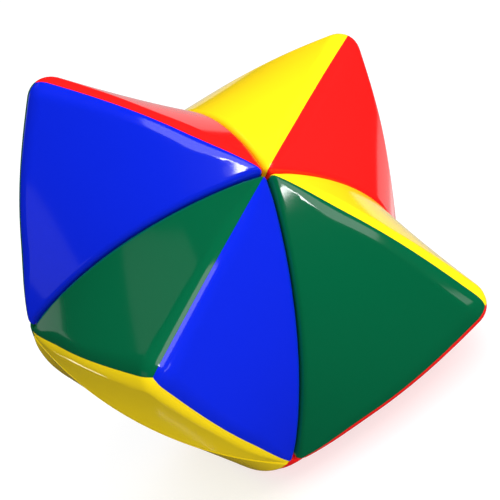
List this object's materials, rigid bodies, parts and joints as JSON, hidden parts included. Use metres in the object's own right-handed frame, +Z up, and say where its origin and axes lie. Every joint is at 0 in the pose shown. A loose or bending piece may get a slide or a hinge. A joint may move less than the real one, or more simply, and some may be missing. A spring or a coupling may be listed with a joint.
{
  "type": "shape-shifting twisty puzzle",
  "caption": "Pillowed tetrahedral two-by-two-by-two twisty puzzle, twisted out of shape, with glossy blue, red, yellow and green panels over a black hidden mechanism.",
  "frame": {"origin": "centre of the flat middle of the dome the puzzle rests on; the puzzle centre, where all three turning axes cross, is 23.76 mm straight above it", "axes": "+Z straight up through the puzzle centre and the highest tip; -Y the side the front turning axis leans towards; +X to the right seen from there"},
  "size_m": [0.0758, 0.0702, 0.0696],
  "materials": {
    "blue_gloss_plastic": "glossy",
    "red_gloss_plastic": "glossy",
    "yellow_gloss_plastic": "glossy",
    "green_gloss_plastic": "glossy",
    "black_plastic": "satin",
    "grey_plastic": "satin",
    "screw_steel": "zinc plated",
    "spring_steel": "drawn wire"
  },
  "bodies": {
    "core_block": {"core": "grey_plastic", "screw_back": "screw_steel", "screw_down": "screw_steel", "screw_front": "screw_steel", "screw_left": "screw_steel", "screw_right": "screw_steel", "screw_up": "screw_steel", "spring_back": "spring_steel", "spring_down": "spring_steel", "spring_front": "spring_steel", "spring_left": "spring_steel", "spring_right": "spring_steel", "spring_up": "spring_steel", "cap_back": "black_plastic", "cap_right": "black_plastic", "cap_down": "black_plastic", "edge_back_right": "black_plastic", "edge_back_down": "black_plastic", "edge_right_down": "black_plastic", "dome_back_right_down_body": "black_plastic", "dome_back_right_down_panel_red": "red_gloss_plastic"},
    "front_layer": {"cap_front": "black_plastic", "edge_front_right": "black_plastic", "edge_front_down": "black_plastic", "tip_front_right_down_body": "black_plastic", "tip_front_right_down_panel_green": "green_gloss_plastic", "tip_front_right_down_panel_red": "red_gloss_plastic", "tip_front_right_down_panel_yellow": "yellow_gloss_plastic"},
    "left_layer": {"cap_left": "black_plastic", "edge_back_left": "black_plastic", "edge_left_down": "black_plastic", "dome_back_left_down_body": "black_plastic", "dome_back_left_down_panel_yellow": "yellow_gloss_plastic"},
    "up_layer": {"cap_up": "black_plastic", "edge_back_up": "black_plastic", "edge_right_up": "black_plastic", "dome_back_right_up_body": "black_plastic", "dome_back_right_up_panel_blue": "blue_gloss_plastic"},
    "front_left_pieces": {"edge_front_left": "black_plastic", "tip_front_left_down_body": "black_plastic", "tip_front_left_down_panel_blue": "blue_gloss_plastic", "tip_front_left_down_panel_green": "green_gloss_plastic", "tip_front_left_down_panel_yellow": "yellow_gloss_plastic"},
    "front_up_pieces": {"edge_front_up": "black_plastic", "tip_front_right_up_body": "black_plastic", "tip_front_right_up_panel_blue": "blue_gloss_plastic", "tip_front_right_up_panel_red": "red_gloss_plastic", "tip_front_right_up_panel_yellow": "yellow_gloss_plastic"},
    "left_up_pieces": {"edge_left_up": "black_plastic", "dome_back_left_up_body": "black_plastic", "dome_back_left_up_panel_green": "green_gloss_plastic"},
    "front_left_up_piece": {"tip_front_left_up_body": "black_plastic", "tip_front_left_up_panel_blue": "blue_gloss_plastic", "tip_front_left_up_panel_green": "green_gloss_plastic", "tip_front_left_up_panel_red": "red_gloss_plastic"}
  },
  "joints": [
    {"name": "left_layer_turn", "type": "hinge", "parent": "core_block", "child": "left_layer", "pos_m": [0, 0, 0.02376], "axis": [-0.7071, 0.4082, 0.5774], "continuous": true},
    {"name": "front_layer_turn", "type": "hinge", "parent": "core_block", "child": "front_layer", "pos_m": [0, 0, 0.02376], "axis": [0, -0.8165, 0.5774], "range_deg": [-360, 360]},
    {"name": "up_layer_turn", "type": "hinge", "parent": "core_block", "child": "up_layer", "pos_m": [0, 0, 0.02376], "axis": [0.7071, 0.4082, 0.5774], "range_deg": [-360, 360]},
    {"name": "front_left_turn", "type": "hinge", "parent": "front_layer", "child": "front_left_pieces", "pos_m": [0, 0, 0.02376], "axis": [-0.7071, 0.4082, 0.5774], "continuous": true},
    {"name": "front_up_turn", "type": "hinge", "parent": "front_layer", "child": "front_up_pieces", "pos_m": [0, 0, 0.02376], "axis": [0.7071, 0.4082, 0.5774], "range_deg": [-360, 360]},
    {"name": "left_up_turn", "type": "hinge", "parent": "left_layer", "child": "left_up_pieces", "pos_m": [0, 0, 0.02376], "axis": [0.7071, 0.4082, 0.5774], "range_deg": [-360, 360]},
    {"name": "front_left_up_turn", "type": "hinge", "parent": "front_left_pieces", "child": "front_left_up_piece", "pos_m": [0, 0, 0.02376], "axis": [0.7071, 0.4082, 0.5774], "range_deg": [-360, 360]}
  ],
  "couplings": [
    {"joint": "front_left_turn", "follows": "left_layer_turn", "ratio": 1},
    {"joint": "front_up_turn", "follows": "up_layer_turn", "ratio": 1},
    {"joint": "left_up_turn", "follows": "up_layer_turn", "ratio": 1},
    {"joint": "front_left_up_turn", "follows": "up_layer_turn", "ratio": 1}
  ]
}
